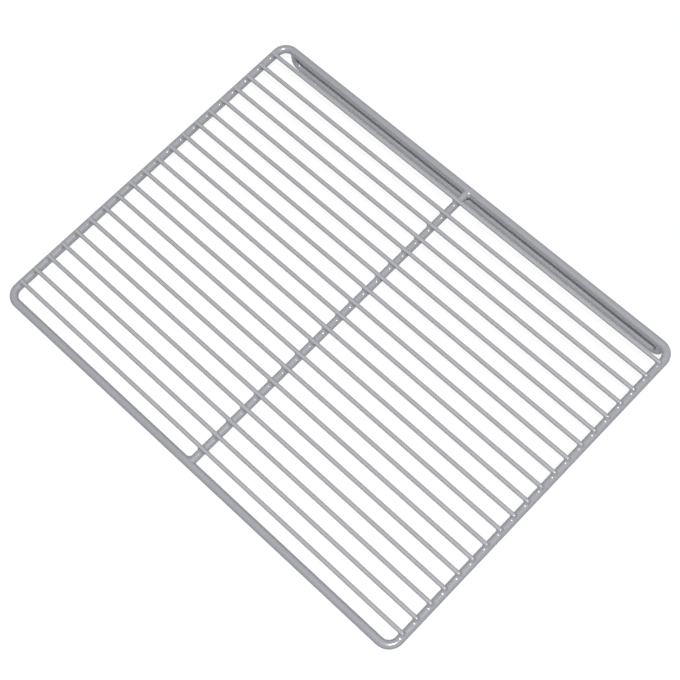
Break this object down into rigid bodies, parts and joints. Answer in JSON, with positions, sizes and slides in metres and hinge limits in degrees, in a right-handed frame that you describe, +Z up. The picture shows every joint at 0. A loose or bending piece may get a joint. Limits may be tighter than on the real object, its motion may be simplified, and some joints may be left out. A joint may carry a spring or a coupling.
{
  "type": "refrigerator floor shelf",
  "caption": "Coated wire floor shelf for a refrigerator: a rounded rectangular frame with a centre bar, a hanging rear stiffener and thin grid wires welded across the top.",
  "frame": {"origin": "under the middle of the shelf, level with the lowest point of the rear stiffener", "axes": "+X along the long side, +Y from the front rail to the rear rail, +Z up, from the frame to the grid wires"},
  "size_m": [0.48, 0.364, 0.0317],
  "materials": {
    "coated_wire": "satin plastic coating over steel wire"
  },
  "bodies": {
    "root": {"perimeter_frame": "coated_wire", "centre_bar": "coated_wire", "rear_stiffener": "coated_wire", "grid_wire_01": "coated_wire", "grid_wire_02": "coated_wire", "grid_wire_03": "coated_wire", "grid_wire_04": "coated_wire", "grid_wire_05": "coated_wire", "grid_wire_06": "coated_wire", "grid_wire_07": "coated_wire", "grid_wire_08": "coated_wire", "grid_wire_09": "coated_wire", "grid_wire_10": "coated_wire", "grid_wire_11": "coated_wire", "grid_wire_12": "coated_wire", "grid_wire_13": "coated_wire", "grid_wire_14": "coated_wire", "grid_wire_15": "coated_wire", "grid_wire_16": "coated_wire", "grid_wire_17": "coated_wire", "grid_wire_18": "coated_wire", "grid_wire_19": "coated_wire", "grid_wire_20": "coated_wire"}
  },
  "joints": []
}
